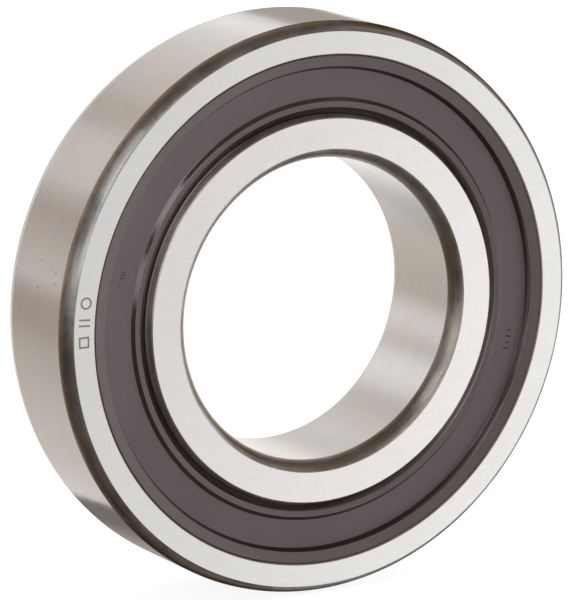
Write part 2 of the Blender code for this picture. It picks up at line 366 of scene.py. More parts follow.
def turned_oxide(
    name, dark, edge, inner, rough, low, high=SKIN_TOP, graze=(0.6, 0.55, 0.5), metal=1.0
):
    """Turned steel left with its dark heat-treatment skin.

    Between the heights low and high (mm over the mid-plane) the skin goes from the inner colour,
    at high, through dark to the edge colour, at low. graze tints what it mirrors at a glancing angle.
    """
    graph = Surface(name, dark)
    place = graph.place
    height = graph.mul(graph.math("ABSOLUTE", graph.split(place)[1]), 1000)
    across = graph.spread(height, to=(0.0, 1.0), within=(low, high))
    wander = graph.noise(place, stretch=(160, 900, 160), detail=3)
    across = graph.add(across, graph.spread(wander, to=0.07))
    turning = graph.noise(place, stretch=(60, 6500, 60), detail=3)
    streaks = graph.noise(place, stretch=(150, 2300, 150), detail=4, rough=0.7)
    blotch = graph.noise(place, scale=190, detail=5, rough=0.68)
    unstretched = graph.stretched(place, stretch=(1, 1, 1))
    rubs = graph.specks(unstretched, cell=0.0038, size=0.00020, share=0.10)

    skin = graph.mix(graph.ease(across, start=0.0, end=0.30), opaque(edge), opaque(dark))
    skin = graph.mix(graph.ease(across, start=0.55, end=1.0), skin, opaque(inner))
    level = graph.total(1.0, graph.spread(turning, to=0.14), graph.spread(blotch, to=0.27))
    level = graph.total(
        level,
        graph.mul(rubs, 0.9),
        graph.spread(streaks, to=(-0.15, 0.34), within=(0.32, 0.74)),
    )
    warm = graph.mul(
        graph.ease(across, start=0.55, end=0.95),
        graph.spread(blotch, to=(0.01, -0.08), within=(0.35, 0.65)),
    )
    less_blue = graph.mul(level, graph.add(1.0, warm))
    base_colour = graph.vector("MULTIPLY", skin, graph.join(level, level, less_blue))
    roughness = graph.add(rough, graph.spread(blotch, to=(-0.06, 0.08)))
    roughness = graph.add(roughness, graph.spread(streaks, to=(0.05, -0.05)))
    relief = graph.total(
        graph.mul(turning, 1.0), graph.mul(blotch, 3.2), graph.mul(streaks, 1.8)
    )
    return graph.finish(
        Base_Color=base_colour,
        Metallic=metal,
        Roughness=roughness,
        Specular_Tint=opaque(graze),
        Anisotropic=0.35,
        Anisotropic_Rotation=0.25,
        Tangent=graph.ring_tangent(),
        Normal=graph.bump(relief, distance=0.000009, strength=0.7),
    )


def moulded_rubber(name, base, rough, dust=1.0, index=1.80, relief=1.0):
    """Nitrile rubber from a turned steel mould: faint rings, a fine grain and a little dust."""
    graph = Surface(name, base)
    place = graph.place
    x, _, z = graph.split(place)
    radius = graph.math("SQRT", graph.add(graph.mul(x, x), graph.mul(z, z)))
    rings_per_metre = 5200
    rings = graph.noise(graph.join(graph.mul(radius, rings_per_metre), 0.0, 0.0), detail=2)
    grain = graph.noise(place, scale=3200, detail=3, rough=0.7)
    cloud = graph.noise(place, scale=110, detail=4, rough=0.6)
    lint = graph.specks(place, cell=0.0026, size=0.00011 * dust, share=0.10)
    aside = graph.vector("ADD", place, (0.031, 0.0, 0.017))  # keeps the spots off the lint
    spots = graph.specks(aside, cell=0.0031, size=0.00016, share=0.06)
    level = graph.total(
        1.0,
        graph.spread(rings, to=0.03),
        graph.spread(grain, to=0.06),
        graph.spread(cloud, to=0.06),
    )
    level = graph.darken(level, spots, by=0.45)
    grey = graph.join(level, level, level)
    skin = graph.vector("MULTIPLY", base, grey)
    lint_colour = opaque((0.16, 0.14, 0.13))
    dusty = graph.mix(graph.mul(lint, 0.5), skin, lint_colour)
    sheen = graph.vector("MULTIPLY", (1.0, 0.84, 0.87), grey)
    roughness = graph.total(rough, graph.spread(cloud, to=0.03), graph.spread(grain, to=0.03))
    height = graph.total(
        graph.mul(grain, 0.9), graph.mul(rings, 0.5 * relief), graph.mul(lint, 1.5)
    )
    return graph.finish(
        Base_Color=dusty,
        Metallic=0.0,
        Roughness=roughness,
        IOR=index,
        Specular_Tint=sheen,
        Normal=graph.bump(height, distance=0.000008, strength=0.5),
    )


def plain_steel(name, base, rough, streak, relief, grain_scale=1.0):
    """Sheet, wire or polished steel: a grain stretched by streak, clouding and small marks.

    relief is the depth of the grain in metres."""
    graph = Surface(name, base)
    place = graph.place
    grain = graph.noise(place, stretch=streak, scale=grain_scale, detail=4, rough=0.6)
    cloud = graph.noise(place, scale=180, detail=3)
    marks = graph.specks(place, cell=0.0019, size=0.00010, share=0.08)
    level = graph.total(1.0, graph.spread(grain, to=0.05), graph.spread(cloud, to=0.06))
    level = graph.darken(level, marks, by=0.3)
    base_colour = graph.shaded(base, level)
    roughness = graph.add(rough, graph.spread(cloud, to=(-0.25 * rough, 0.3 * rough)))
    return graph.finish(
        Base_Color=base_colour,
        Metallic=1.0,
        Roughness=roughness,
        Normal=graph.bump(grain, distance=relief, strength=0.5),
    )


def etched(name, base):
    """Laser-etched strokes: dark brown and matt."""
    graph = Surface(name, base)
    grain = graph.noise(graph.place, scale=5200, detail=3, rough=0.7)
    level = graph.spread(grain, to=(0.75, 1.35))
    return graph.finish(
        Base_Color=graph.shaded(base, level),
        Metallic=0.6,
        Roughness=graph.spread(grain, to=(0.45, 0.65)),
        Normal=graph.bump(grain, distance=0.000008, strength=0.6),
    )


RUBBER = (0.012, 0.008, 0.008)

# The material of each zone of the pieces' profiles
MATERIALS = {
    "outside": ground_cylinder("ground_outside", (0.650, 0.630, 0.608), rough=0.135),
    "bore": ground_cylinder("ground_bore", (0.660, 0.640, 0.620), rough=0.22, wear=0.7),
    "face": lapped_face("lapped_face", (0.640, 0.632, 0.624), rough=0.30),
    "face_inner": lapped_face("lapped_face_inner", (0.668, 0.656, 0.648), rough=0.30),
    "chamfer": turned_oxide(
        "outer_chamfer",
        dark=(0.225, 0.195, 0.172),
        edge=(0.390, 0.320, 0.262),
        inner=(0.330, 0.325, 0.330),
        rough=0.29,
        low=SKIN_TOP - OUTER_CHAMFER_H,
        graze=(0.22, 0.175, 0.140),
    ),
    "bore_chamfer": turned_oxide(
        "bore_chamfer",
        dark=(0.270, 0.235, 0.203),
        edge=(0.37, 0.32, 0.27),
        inner=(0.33, 0.305, 0.28),
        rough=0.31,
        low=SKIN_TOP - BORE_CHAMFER_H,
        graze=(1.0, 0.96, 0.92),
    ),
    "corner": turned_oxide(
        "shoulder_corner",
        dark=(0.420, 0.385, 0.350),
        edge=(0.36, 0.31, 0.27),
        inner=(0.44, 0.42, 0.40),
        rough=0.36,
        low=7.6,
    ),
    "land": plain_steel(
        "turned_land", (0.46, 0.42, 0.38), rough=0.34, streak=(90, 5200, 90), relief=0.000006
    ),
    "seat": turned_oxide(
        "seal_seat",
        dark=(0.150, 0.108, 0.088),
        edge=(0.140, 0.098, 0.078),
        inner=(0.200, 0.148, 0.122),
        rough=0.46,
        low=7.0,
        metal=0.15,
    ),
    "race": plain_steel(
        "honed_raceway", (0.66, 0.65, 0.64), rough=0.10, streak=(60, 4200, 60), relief=0.000002
    ),
    "ball": plain_steel(
        "lapped_ball",
        (0.70, 0.69, 0.68),
        rough=0.06,
        streak=(1, 1, 1),
        relief=0.0000008,
        grain_scale=900,
    ),
    "insert": plain_steel(
        "rolled_sheet", (0.46, 0.45, 0.44), rough=0.36, streak=(240, 240, 3200), relief=0.000006
    ),
    "cage": plain_steel(
        "pressed_sheet", (0.56, 0.545, 0.52), rough=0.30, streak=(700, 700, 2600), relief=0.000008
    ),
    "rivet": plain_steel(
        "headed_wire",
        (0.50, 0.49, 0.47),
        rough=0.34,
        streak=(1, 1, 1),
        relief=0.000008,
        grain_scale=2200,
    ),
    "rubber": moulded_rubber("moulded_rubber", RUBBER, rough=0.50),
    "rubber_band": moulded_rubber("moulded_band", RUBBER, rough=0.46),
    # The walls of the seal's channel: a glossier skin, and a darker copy of the rubber's colour, which is
    # painted shade.
    "rubber_wall_shaded": moulded_rubber(
        "moulded_wall_painted_shade", (0.006, 0.004, 0.003), rough=0.15, dust=0.5, index=2.0, relief=3.0
    ),
    "rubber_lip": moulded_rubber("moulded_lip", (0.016, 0.010, 0.009), rough=0.30, dust=0.6),
    "rubber_edge": moulded_rubber("moulded_edge", (0.095, 0.070, 0.056), rough=0.50),
    "etched": etched("etched_marks", (0.235, 0.185, 0.140)),
    "moulded_mark": moulded_rubber("moulded_marks", RUBBER, rough=0.6, dust=0.5, index=1.5),
}


# ---------------------------------------------------------------- meshes
def link_object(obj):
    bpy.context.scene.collection.objects.link(obj)
    return obj


def new_mesh(bm, name):
    mesh = bpy.data.meshes.new(name)
    bm.to_mesh(mesh)
    bm.free()
    return mesh


def smooth(mesh, sharp):
    mesh.shade_smooth()
    mesh.set_sharp_from_angle(angle=math.radians(sharp))


def finish_mesh(bm, name, zones, sharp=SHARP):
    bmesh.ops.recalc_face_normals(bm, faces=bm.faces[:])
    mesh = new_mesh(bm, name)
    for zone in zones:
        mesh.materials.append(MATERIALS[zone])
    smooth(mesh, sharp)
    return link_object(bpy.data.objects.new(name, mesh))


def subtract(piece, name, cutter):
    boolean = piece.modifiers.new(name, "BOOLEAN")
    boolean.operation = "DIFFERENCE"
    boolean.solver = "EXACT"
    boolean.object = cutter


def bake(piece, cutter, sharp):
    """Turns the piece's modifiers into its mesh and removes the cutter they used."""
    depsgraph = bpy.context.evaluated_depsgraph_get()
    evaluated = piece.evaluated_get(depsgraph)
    baked = bpy.data.meshes.new_from_object(evaluated, depsgraph=depsgraph)
    piece.modifiers.clear()
    old, piece.data = piece.data, baked
    baked.name = old.name
    bpy.data.meshes.remove(old)
    bpy.data.objects.remove(cutter)
    smooth(baked, sharp)


# ---------------------------------------------------------------- turned shapes
def fillet_corner(here, to_before, to_after, fillet, bend):
    """Points of the arc that rounds a corner, kept short of the middle of either neighbour."""
    half = (math.pi - bend) / 2
    reach = min(fillet / math.tan(half), 0.45 * to_before.length, 0.45 * to_after.length)
    radius = reach * math.tan(half)
    to_before.normalize()
    to_after.normalize()
    centre = here + (to_before + to_after).normalized() * (radius / math.sin(half))
    start = here + to_before * reach - centre
    end = here + to_after * reach - centre
    parts = max(2, math.ceil(math.degrees(bend) / FILLET_STEP))
    points = []
    for k in range(parts + 1):
        t = k / parts
        spoke = (start * math.sin((1 - t) * bend) + end * math.sin(t * bend)) / math.sin(bend)
        points.append(centre + spoke)
    return points


def rounded(loop):
    """A closed profile of (r, z, fillet, zone) with its corners rounded, as (r, z, zone).

    zone names the segment that starts at the point. Long straight runs get a close line next to
    each end, which keeps the shading of flats flat."""
    made = []
    for i, (r, z, fillet, zone) in enumerate(loop):
        before, after = loop[i - 1], loop[(i + 1) % len(loop)]
        here = Vector((r, z))
        to_before = Vector(before[:2]) - here
        to_after = Vector(after[:2]) - here
        bend = math.pi - to_before.angle(to_after)
        if fillet <= 0 or bend < math.radians(LEAST_BEND):
            made.append((r, z, zone))
            continue
        points = fillet_corner(here, to_before, to_after, fillet, bend)
        parts = len(points) - 1
        for k, point in enumerate(points):
            made.append((point.x, point.y, zone if k >= parts / 2 else before[3]))
    guarded = []
    for i, (r, z, zone) in enumerate(made):
        here = Vector((r, z))
        there = Vector(made[(i + 1) % len(made)][:2])
        guarded.append((r, z, zone))
        run = there - here
        if run.length > LONG_RUN:
            step = run.normalized() * GUARD_GAP
            guarded.append((*(here + step), zone))
            guarded.append((*(there - step), zone))
    return guarded


def turned(name, loop, steps=STEPS, flip=False):
    """The closed profile spun about the bearing's axis. flip turns it round to the back side."""
    outline = rounded(loop)
    zones = []
    for *_, zone in outline:
        if zone not in zones:
            zones.append(zone)
    bm = bmesh.new()
    sign = 1 if flip else -1
    grid = []
    for k in range(steps):
        angle = 2 * math.pi * k / steps
        across, up = math.cos(angle) * MM, math.sin(angle) * MM
        grid.append([bm.verts.new((r * across, sign * z * MM, r * up)) for r, z, _ in outline])
    count = len(outline)
    for k in range(steps):
        one, two = grid[k], grid[(k + 1) % steps]
        for i in range(count):
            j = (i + 1) % count
            face = bm.faces.new((one[i], one[j], two[j], two[i]))
            face.material_index = zones.index(outline[i][2])
    return finish_mesh(bm, name, zones)


def corner_arc(start, end, zone, first, last, parts=12):
    """A corner rounded before its neighbours were ground, which it meets at a slight angle.

    It is the part of an ellipse between the angles first and last (degrees), from start (on the
    cylinder) to end (on the face). Includes start, leaves out end."""
    t0, t1 = math.radians(first), math.radians(last)
    half_r = (start[0] - end[0]) / (math.cos(t0) - math.cos(t1))
    half_z = (end[1] - start[1]) / (math.sin(t1) - math.sin(t0))
    centre_r = start[0] - half_r * math.cos(t0)
    centre_z = start[1] - half_z * math.sin(t0)
    made = []
    for i in range(parts):
        t = t0 + (t1 - t0) * i / parts
        made.append((centre_r + half_r * math.cos(t), centre_z + half_z * math.sin(t), 0, zone))
    return made


def raceway(bottom_r, arc, shoulder_r, side, parts=28):
    """A groove's (r, z) points from back to front between its edges, and the edge's height.

    side is 1 for a groove that opens inwards, -1 for one that opens outwards."""
    centre_r = bottom_r - side * arc
    edge = math.acos(side * (shoulder_r - centre_r) / arc)
    made = []
    for i in range(1, parts):
        angle = edge * (2 * i / parts - 1)
        made.append((centre_r + side * arc * math.cos(angle), arc * math.sin(angle)))
    return made, arc * math.sin(edge)


def both_sides(half, middle, cylinder, strip):
    """Closed loop of a ring from the front half of its profile and its raceway's points.

    The half starts with the chamfer, at the cylinder, and ends at the raceway's edge. cylinder is
    the zone that joins the two chamfers and runs on over a strip of the back one."""
    edge_r, _, _, chamfer = half[0]
    loop = []
    for r, z, fillet, zone in half:
        ground = zone == chamfer and abs(r - edge_r) < strip
        loop.append((r, -z, fillet, cylinder if ground else zone))
    loop += [(r, z, 0, half[-1][3]) for r, z in middle]
    front = half[::-1]
    for k, (r, z, fillet, _) in enumerate(front):
        loop.append((r, z, fillet, front[k + 1][3] if k + 1 < len(front) else cylinder))
    return loop


def outer_ring():
    groove, edge_z = raceway(OUTER_GROOVE_R, OUTER_GROOVE_ARC, OUTER_LAND_R, side=1)
    face_r = OUT_R - OUTER_CHAMFER_W
    chamfer = corner_arc(
        (OUT_R, HALF_W - OUTER_CHAMFER_H), (face_r, HALF_W), "chamfer", first=15, last=80
    )
    # r, z, fillet, zone of the segment that follows
    half = [
        *chamfer,
        (face_r, HALF_W, 0.05, "face"),
        (37.99, HALF_W, 0.03, "seat"),
        (37.84, depth(0.17), 0.05, "seat"),
        (37.74, depth(0.80), 0.10, "seat"),
        (OUTER_SEAT_R, depth(1.15), 0.12, "seat"),
        (OUTER_SEAT_R, depth(2.42), 0.25, "seat"),
        (OUTER_LAND_R, depth(2.42), 0.15, "land"),
        (OUTER_LAND_R, edge_z, 0.10, "race"),
    ]
    return turned("outer_ring_steel", both_sides(half, groove, "outside", OUTER_GROUND_STRIP))


def inner_ring():
    groove, edge_z = raceway(INNER_GROOVE_R, INNER_GROOVE_ARC, SHOULDER_R, side=-1)
    face_r = BORE_R + BORE_CHAMFER_W
    chamfer = corner_arc(
        (BORE_R, HALF_W - BORE_CHAMFER_H), (face_r, HALF_W), "bore_chamfer", first=17, last=75
    )
    # r, z, fillet, zone of the segment that follows
    half = [
        *chamfer,
        (face_r, HALF_W, 0.05, "face_inner"),
        (28.49, HALF_W, 0.05, "corner"),
        (28.66, depth(0.16), 0.20, "corner"),
        (SHOULDER_R, depth(0.90), 0.12, "land"),
        (28.74, depth(1.22), 0.12, "land"),
        (SHOULDER_R, depth(1.56), 0.05, "land"),
        (SHOULDER_R, edge_z, 0.10, "race"),
    ]
    return turned("inner_ring_steel", both_sides(half, groove, "bore", BORE_GROUND_STRIP))


# Closed profiles of a seal's two pieces: r, z, fillet, zone of the segment that follows
RUBBER_LOOP = [
    (37.60, depth(0.13), 0.07, "rubber_edge"),
    (37.73, depth(0.31), 0.08, "rubber_edge"),
    (37.69, depth(0.86), 0.08, "rubber_lip"),
    (BEAD_R, depth(1.30), 0.20, "rubber_lip"),
    (BEAD_R, depth(2.18), 0.25, "rubber_lip"),
    (INSERT_R + 0.05, depth(2.30), 0.05, "rubber_lip"),
    (INSERT_R + 0.05, depth(1.00), 0.03, "rubber_lip"),
    (INSERT_R - 0.55, depth(1.00), 0.10, "rubber_lip"),
    (INSERT_R - 0.55, depth(1.70), 0.12, "rubber_lip"),
    (30.55, depth(1.70), 0.03, "rubber_lip"),
    (30.55, depth(2.25), 0.08, "rubber_lip"),
    (29.98, depth(2.30), 0.20, "rubber_lip"),
    (29.62, depth(1.98), 0.20, "rubber_lip"),
    (29.14, depth(2.12), 0.08, "rubber_lip"),
    (28.98, depth(1.74), 0.06, "rubber_lip"),
    (29.40, depth(1.48), 0.15, "rubber_lip"),
    (29.66, depth(1.26), 0.15, "rubber_lip"),
    (30.00, depth(0.90), 0.24, "rubber_band"),
    (30.90, depth(0.79), 0.12, "rubber_wall_shaded"),
    (31.40, depth(1.27), 0.24, "rubber"),
    (35.60, depth(1.24), 0.09, "rubber_wall_shaded"),
    (36.05, depth(0.42), 0.12, "rubber_band"),
]
INSERT_LOOP = [
    (INSERT_R, depth(1.05), 0.12, "insert"),
    (INSERT_R, depth(2.25), 0.60, "insert"),
    (30.60, depth(2.25), 0.06, "insert"),
    (30.60, depth(1.75), 0.06, "insert"),
    (INSERT_R - 0.5, depth(1.75), 0.14, "insert"),
    (INSERT_R - 0.5, depth(1.05), 0.12, "insert"),
]


# ---------------------------------------------------------------- marks, cut into the surface
STROKE = 0.13  # half the width of an etched stroke
ETCHED_R = 39.62
ETCHED_SPAN = (-HALF_W - 0.2, -HALF_W + 0.035)  # world Y from before the face to the cut's floor
CIRCLE_AT, BARS_AT, SQUARE_AT = 171.9, 176.0, 180.1  # degrees round the ring from world +X
CIRCLE_R = 0.76
BARS_SHIFT, BARS_HALF = 0.42, 0.90
SQUARE_SHIFT = 0.70  # from the square's centre to the middle of each side
SQUARE_SHORT_HALF = 0.56

SEAL_FACE_Y = -depth(1.255)
SEAL_SPAN = (SEAL_FACE_Y - 0.3, SEAL_FACE_Y + 0.045)
# r, degrees, half the length round the seal, half the length outwards
SEAL_MARKS = [
    *[(33.75, 164.3 + 0.75 * k, 0.11, 0.42 - 0.09 * (k % 2)) for k in range(3)],
    *[(33.95, 167.1 + 0.9 * k, 0.11, 0.11) for k in range(2)],
    *[(33.60, -16.4 + 1.6 * k, 0.14, 0.42 - 0.12 * (k % 2)) for k in range(4)],
    (33.60, -20.4, 0.13, 0.13),
]


def polar(radius, degrees):
    angle = math.radians(degrees)
    return Vector((radius * math.cos(angle), 0, radius * math.sin(angle)))


def stroke_box(
    bm, slot, span, radius, degrees, half_round, half_out, shift_round=0, shift_out=0
):
    """A closed box over the face, for cutting a stroke; its sides lie round and out from the axis."""
    out = polar(1, degrees)
    around = Vector((-out.z, 0, out.x))
    centre = polar(radius, degrees) + around * shift_round + out * shift_out
    low, high = span
    made = bmesh.ops.create_cube(bm, size=1.0)
    for vert in made["verts"]:
        unit = vert.co.copy()
        vert.co = (
            centre
            + around * (2 * half_round * unit.x)
            + out * (2 * half_out * unit.y)
            + Vector((0, low + (high - low) * (unit.z + 0.5), 0))
        ) * MM
    for face in {face for vert in made["verts"] for face in vert.link_faces}:
        face.material_index = slot


def stroke_ring(bm, slot, span, centre, radius, parts=28):
    """A closed ring-shaped cutter: the outline of a small circle."""
    low, high = span
    inside, outside = radius - STROKE, radius + STROKE
    loops = []
    for r, y in ((inside, low), (outside, low), (outside, high), (inside, high)):
        loop = []
        for k in range(parts):
            x = centre.x + r * math.cos(2 * math.pi * k / parts)
            z = centre.z + r * math.sin(2 * math.pi * k / parts)
            loop.append(bm.verts.new((x * MM, y * MM, z * MM)))
        loops.append(loop)
    for i in range(4):
        one, two = loops[i], loops[(i + 1) % 4]
        for k in range(parts):
            j = (k + 1) % parts
            face = bm.faces.new((one[k], one[j], two[j], two[k]))
            face.material_index = slot


def draw_ring_marks(bm, slot):
    """A circle, a pair of bars and a square outline on the side face."""
    stroke_ring(bm, slot, ETCHED_SPAN, polar(ETCHED_R, CIRCLE_AT), CIRCLE_R)

    def stroke(degrees, half_round, half_out, **shift):
        stroke_box(bm, slot, ETCHED_SPAN, ETCHED_R, degrees, half_round, half_out, **shift)

    for shift in (-BARS_SHIFT, BARS_SHIFT):
        stroke(BARS_AT, STROKE, BARS_HALF, shift_round=shift)
    for shift in (-SQUARE_SHIFT, SQUARE_SHIFT):
        stroke(SQUARE_AT, SQUARE_SHIFT + STROKE, STROKE, shift_out=shift)
        stroke(SQUARE_AT, STROKE, SQUARE_SHORT_HALF, shift_round=shift)


def draw_seal_marks(bm, slot):
    for radius, degrees, half_round, half_out in SEAL_MARKS:
        stroke_box(bm, slot, SEAL_SPAN, radius, degrees, half_round, half_out)


def cut_marks(piece, zone, draw):
    """Cuts what draw() adds to a mesh out of the piece; the cut walls get the zone's material."""
    piece.data.materials.append(MATERIALS[zone])
    bm = bmesh.new()
    draw(bm, len(piece.data.materials) - 1)
    bmesh.ops.recalc_face_normals(bm, faces=bm.faces[:])
    mesh = new_mesh(bm, "marks")
    for material in piece.data.materials:
        mesh.materials.append(material)
    cutter = link_object(bpy.data.objects.new("marks_cutter", mesh))
    subtract(piece, "Marks", cutter)
    bake(piece, cutter, SHARP)


# ---------------------------------------------------------------- balls
def lapped_ball(name, centre, cells=20):
    """A ball from an evenly divided cube, which has no poles."""
    bm = bmesh.new()
    corners = {}

    def corner(i, j, side):
        axis, positive = divmod(side, 2)
        point = [0.0, 0.0, 0.0]
        point[axis] = 1.0 if positive else -1.0
        point[(axis + 1) % 3] = math.tan((2 * i / cells - 1) * math.pi / 4)
        point[(axis + 2) % 3] = math.tan((2 * j / cells - 1) * math.pi / 4)
        point = Vector(point).normalized() * BALL_R * MM
        key = tuple(round(c, 9) for c in point)
        if key not in corners:
            corners[key] = bm.verts.new(point)
        return corners[key]

    for side in range(6):
        for i in range(cells):
            for j in range(cells):
                around = ((i, j), (i + 1, j), (i + 1, j + 1), (i, j + 1))
                bm.faces.new([corner(u, v, side) for u, v in around])
    made = finish_mesh(bm, name, ["ball"], sharp=60)
    made.location = centre
    return made


# ---------------------------------------------------------------- cage
def cage_columns():
    """One ball's share of the cage, as (kind, share): up the fillet, over the dome, down the
    fillet, along the web."""
    kinds = (("rise", BLEND), ("dome", DOME), ("fall", BLEND), ("web", WEB))
    return [(kind, k / parts) for kind, parts in kinds for k in range(parts)]


def cage_place(kind, share, radius):
    """(turn from the ball, height of the sheet's middle) at a radius."""
    off_pitch = radius - PITCH_R
    crown = math.sqrt(POCKET_R**2 - off_pitch**2)

    def swing(away):
        """The turn at which this radius is so far away from the ball's centre."""
        return math.acos((radius**2 + PITCH_R**2 - away**2) / (2 * radius * PITCH_R))

    foot_y = crown * math.sin(FOOT)
    foot_away = math.sqrt(POCKET_R**2 - foot_y**2)
    foot = swing(foot_away)
    toe = swing(foot_away + FILLET_REACH)
    if kind == "dome":
        angle = FOOT + (math.pi - 2 * FOOT) * share
        y = crown * math.sin(angle)
        away = math.sqrt(max(POCKET_R**2 - y**2, 0))
        turn = swing(max(away, abs(off_pitch) + 1e-9))
        return (-turn if angle < math.pi / 2 else turn), y
    if kind in ("rise", "fall"):
        t = (share if kind == "rise" else 1 - share) * math.pi / 2
        y = WEB_Y + (foot_y - WEB_Y) * (1 - math.cos(t))
        turn = toe + (foot - toe) * math.sin(t)
        return (-turn if kind == "rise" else turn), y
    return toe + (PITCH - 2 * toe) * share, WEB_Y


def hole_cutter():
    """A cylinder through every place of a rivet."""
    holes = bmesh.new()
    for i in range(BALLS):
        angle = math.pi / 2 + PITCH * (i + 0.5)
        centre = Vector((PITCH_R * math.cos(angle), 0, PITCH_R * math.sin(angle))) * MM
        bmesh.ops.create_cone(
            holes,
            cap_ends=True,
            segments=RIVET_STEPS,
            radius1=RIVET_HOLE_R * MM,
            radius2=RIVET_HOLE_R * MM,
            depth=4 * MM,
            matrix=Matrix.Translation(centre) @ Matrix.Rotation(math.pi / 2, 4, "X"),
        )
    return link_object(bpy.data.objects.new("holes_cutter", new_mesh(holes, "holes")))


def cage_half(name, side):
    """A pressed half with its domes towards world Y times side, drilled and tumbled."""
    bm = bmesh.new()
    grid = []
    for i in range(BALLS):
        for kind, share in cage_columns():
            column = []
            for j in range(ROWS + 1):
                radius = CAGE_IN + (CAGE_OUT - CAGE_IN) * j / ROWS
                turn, y = cage_place(kind, share, radius)
                angle = math.pi / 2 + i * PITCH + turn
                x, z = radius * math.cos(angle), radius * math.sin(angle)
                column.append(bm.verts.new((x * MM, side * y * MM, z * MM)))
            grid.append(column)
    for k, one in enumerate(grid):
        two = grid[(k + 1) % len(grid)]
        for j in range(ROWS):
            bm.faces.new((one[j], two[j], two[j + 1], one[j + 1]))
    made = finish_mesh(bm, name, ["cage"], sharp=40)
    sheet = made.modifiers.new("Sheet", "SOLIDIFY")
    sheet.thickness = SHEET * MM
    sheet.offset = 0
    sheet.use_even_offset = True
    cutter = hole_cutter()
    subtract(made, "Rivet holes", cutter)
    rim = made.modifiers.new("Tumbled edges", "BEVEL")
    rim.width = RIM_BEVEL * MM
    rim.segments = 2
    rim.limit_method = "ANGLE"
    rim.angle_limit = math.radians(50)
    rim.use_clamp_overlap = True
    bake(made, cutter, sharp=38)
    return made


def headed_rivet(name, centre):
    """A rivet through both cage halves, with a like domed head at either end."""
    profile = [(0.0, HEAD_TOP)]  # r, z from the top of the front head
    for k in range(1, HEAD_PARTS + 1):
        t = k / HEAD_PARTS * HEAD_ANGLE
        drop = HEAD_RISE * (1 - math.cos(t)) / (1 - math.cos(HEAD_ANGLE))
        profile.append((HEAD_DOME_R * math.sin(t) / math.sin(HEAD_ANGLE), HEAD_TOP - drop))
    profile += [(1.70, 1.02), (1.70, 0.92), (1.64, 0.84), (1.02, 0.84), (0.93, 0.78), (0.93, 0.0)]
    profile += [(r, -z) for r, z in profile[-2::-1]]
    bm = bmesh.new()
    top = bm.verts.new((0, -profile[0][1] * MM, 0))
    end = bm.verts.new((0, -profile[-1][1] * MM, 0))
    rows = []
    for r, z in profile[1:-1]:
        row = []
        for k in range(RIVET_STEPS):
            angle = 2 * math.pi * k / RIVET_STEPS
            row.append(bm.verts.new((r * math.cos(angle) * MM, -z * MM, r * math.sin(angle) * MM)))
        rows.append(row)
    for k in range(RIVET_STEPS):
        j = (k + 1) % RIVET_STEPS
        bm.faces.new((top, rows[0][k], rows[0][j]))
        for one, two in zip(rows, rows[1:]):
            bm.faces.new((one[k], two[k], two[j], one[j]))
        bm.faces.new((rows[-1][k], end, rows[-1][j]))
    made = finish_mesh(bm, name, ["rivet"], sharp=30)
    made.location = centre
    return made


# ---------------------------------------------------------------- assembly
def attach(piece, body, node):
    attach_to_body(piece, body)
    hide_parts(node)


outer = outer_ring()
inner = inner_ring()
rubbers, inserts = {}, {}
for side, flip in (("front", False), ("back", True)):
    rubbers[side] = turned(f"seal_{side}_rubber", RUBBER_LOOP, flip=flip)
    inserts[side] = turned(f"seal_{side}_insert", INSERT_LOOP, steps=INSERT_STEPS, flip=flip)
cut_marks(outer, "etched", draw_ring_marks)
cut_marks(rubbers["front"], "moulded_mark", draw_seal_marks)

attach(outer, "outer", "outer_ring")
attach(inner, "inner", "inner_ring")
for side in ("front", "back"):
    attach(rubbers[side], "outer", "seal_rubber_" + side)
    attach(inserts[side], "outer", "seal_insert_" + side)
    half = cage_half(f"cage_{side}_half", -1 if side == "front" else 1)
    attach(half, "cage", "cage_half_" + side)
for i in range(1, BALLS + 1):
    node = f"ball_{i:02d}"
    attach(lapped_ball("lapped_" + node, box_middle(node)), node, node)
    node = f"rivet_{i:02d}"
    attach(headed_rivet("headed_" + node, box_middle(node)), "cage", node)


# ---------------------------------------------------------------- stage: floor, studio and cards
def stage_plane(name, centre, facing, width, height, material, turn=0.0):
    """A flat card with its local Z along facing and its local X level, then turned by degrees
    about its Z."""
    bm = bmesh.new()
    bmesh.ops.create_grid(bm, x_segments=1, y_segments=1, size=0.5)
    mesh = new_mesh(bm, name)
    mesh.materials.append(material)
    made = link_object(bpy.data.objects.new(name, mesh))
    z = Vector(facing).normalized()
    x = Vector((0, 0, 1)).cross(z)
    x = x.normalized() if x.length > 1e-6 else Vector((1, 0, 0))
    y = z.cross(x)
    made.matrix_world = (
        Matrix.Translation(Vector(centre))
        @ Matrix((x, y, z)).transposed().to_4x4()
        @ Matrix.Rotation(math.radians(turn), 4, "Z")
        @ Matrix.Diagonal((width, height, 1, 1))
    )
    return made


def only_reflected(name, centre, facing, width, height, material, turn=0.0):
    card = stage_plane(name, centre, facing, width, height, material, turn)
    card.visible_camera = False
    card.visible_diffuse = False
    card.visible_transmission = False
    card.visible_volume_scatter = False
    card.visible_shadow = False
    return card


def bare_material(name):
    """A material without nodes yet, and its graph."""
    material = bpy.data.materials.new(name)
    material.use_nodes = True
    material.node_tree.nodes.clear()
    return material, Graph(material.node_tree)


